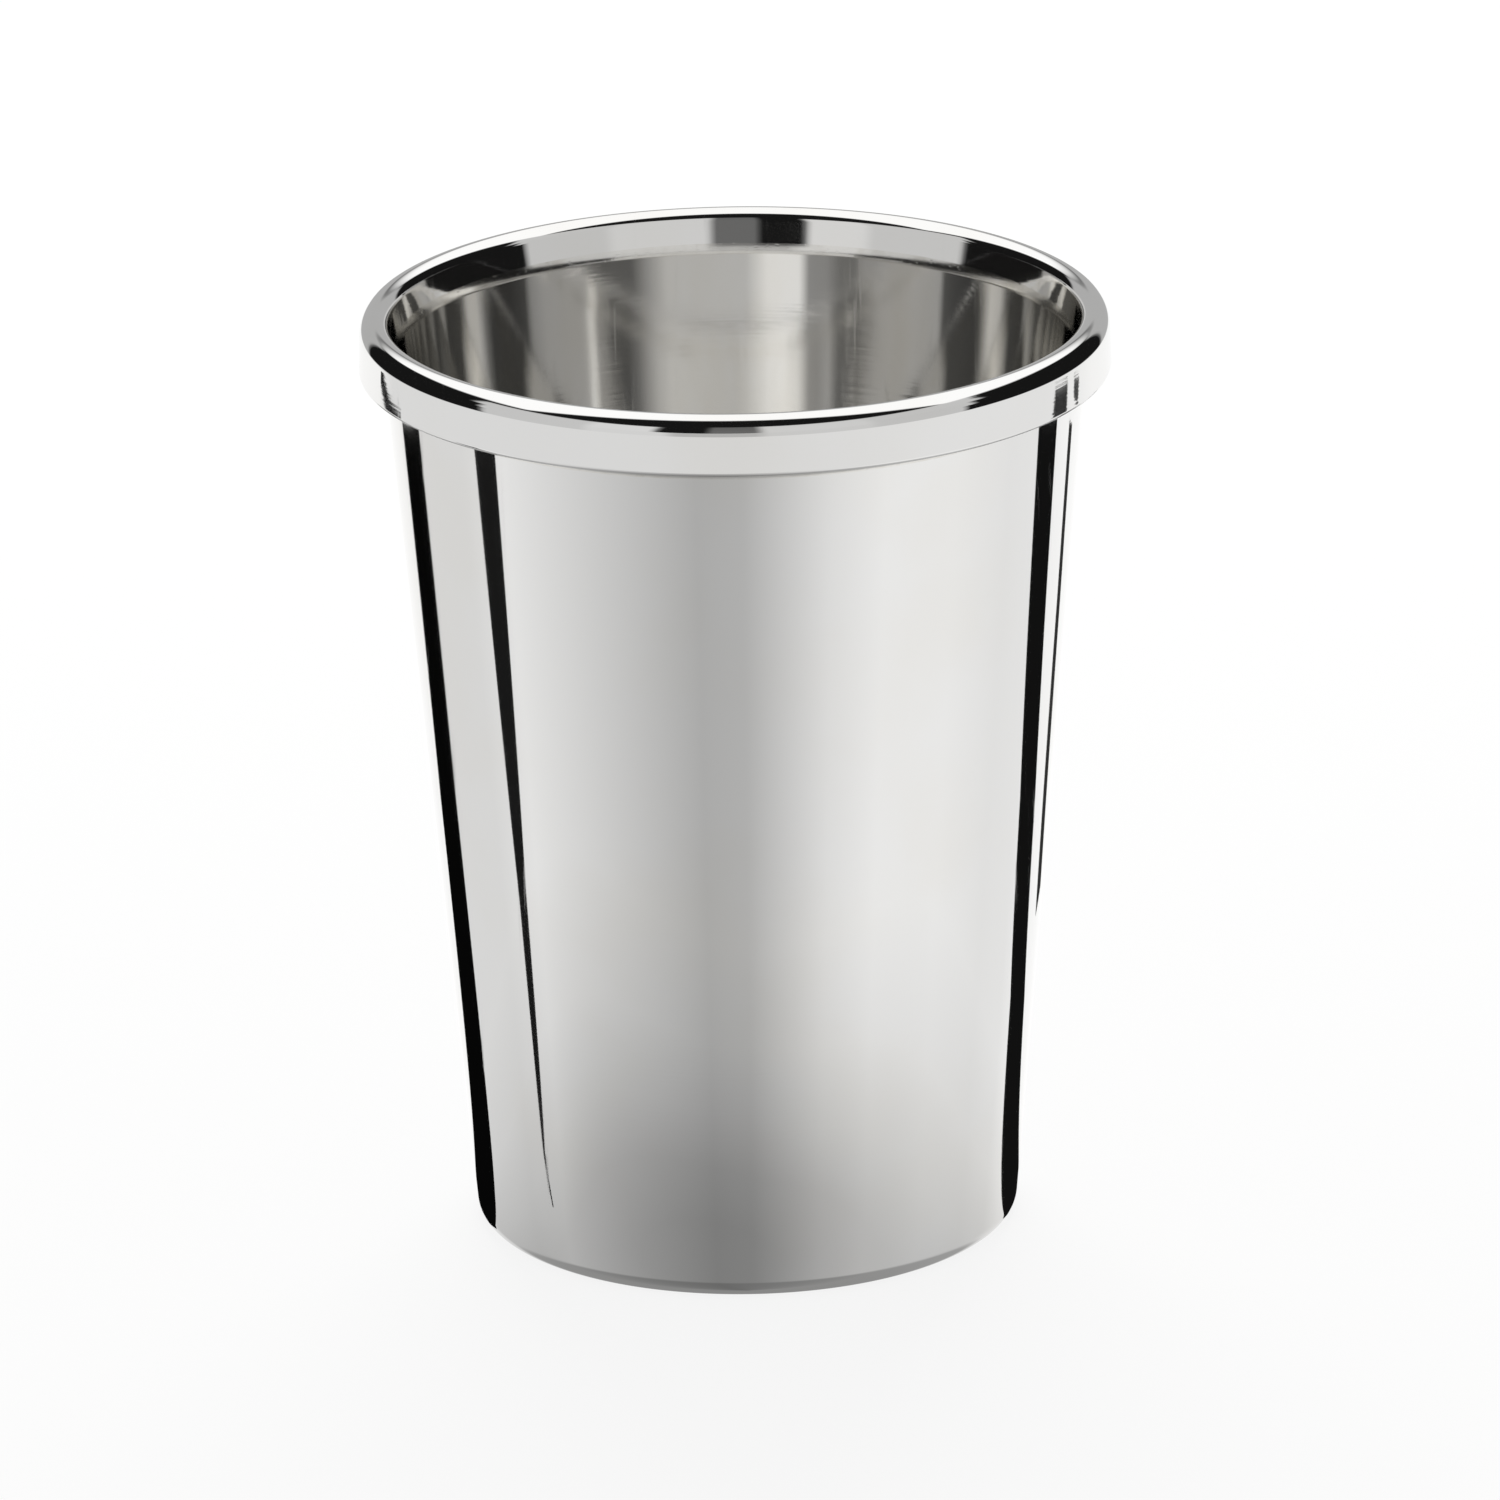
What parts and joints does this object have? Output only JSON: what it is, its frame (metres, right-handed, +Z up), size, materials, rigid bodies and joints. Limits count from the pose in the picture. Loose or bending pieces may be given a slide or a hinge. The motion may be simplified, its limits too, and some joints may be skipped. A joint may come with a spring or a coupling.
{
  "type": "drinking cup",
  "caption": "Polished silver tumbler: straight tapered wall on a small flat foot, with a thick plain moulding round the open lip.",
  "frame": {"origin": "on the floor, at the centre of the foot ring that the cup stands on", "axes": "+Z up along the cup's axis to the open mouth; the cup is round, so X and Y are free, with -Y taken as the side facing the picture's camera"},
  "size_m": [0.065, 0.065, 0.0825],
  "materials": {
    "polished_silver": "polished",
    "turned_silver": "gloss",
    "silver_solder": "gloss"
  },
  "bodies": {
    "root": {"cup_wall": "polished_silver", "rim_moulding": "polished_silver", "base_disc": "turned_silver", "lip_seam": "silver_solder", "rim_solder_fillet": "silver_solder", "base_solder_fillet": "silver_solder"}
  },
  "joints": []
}
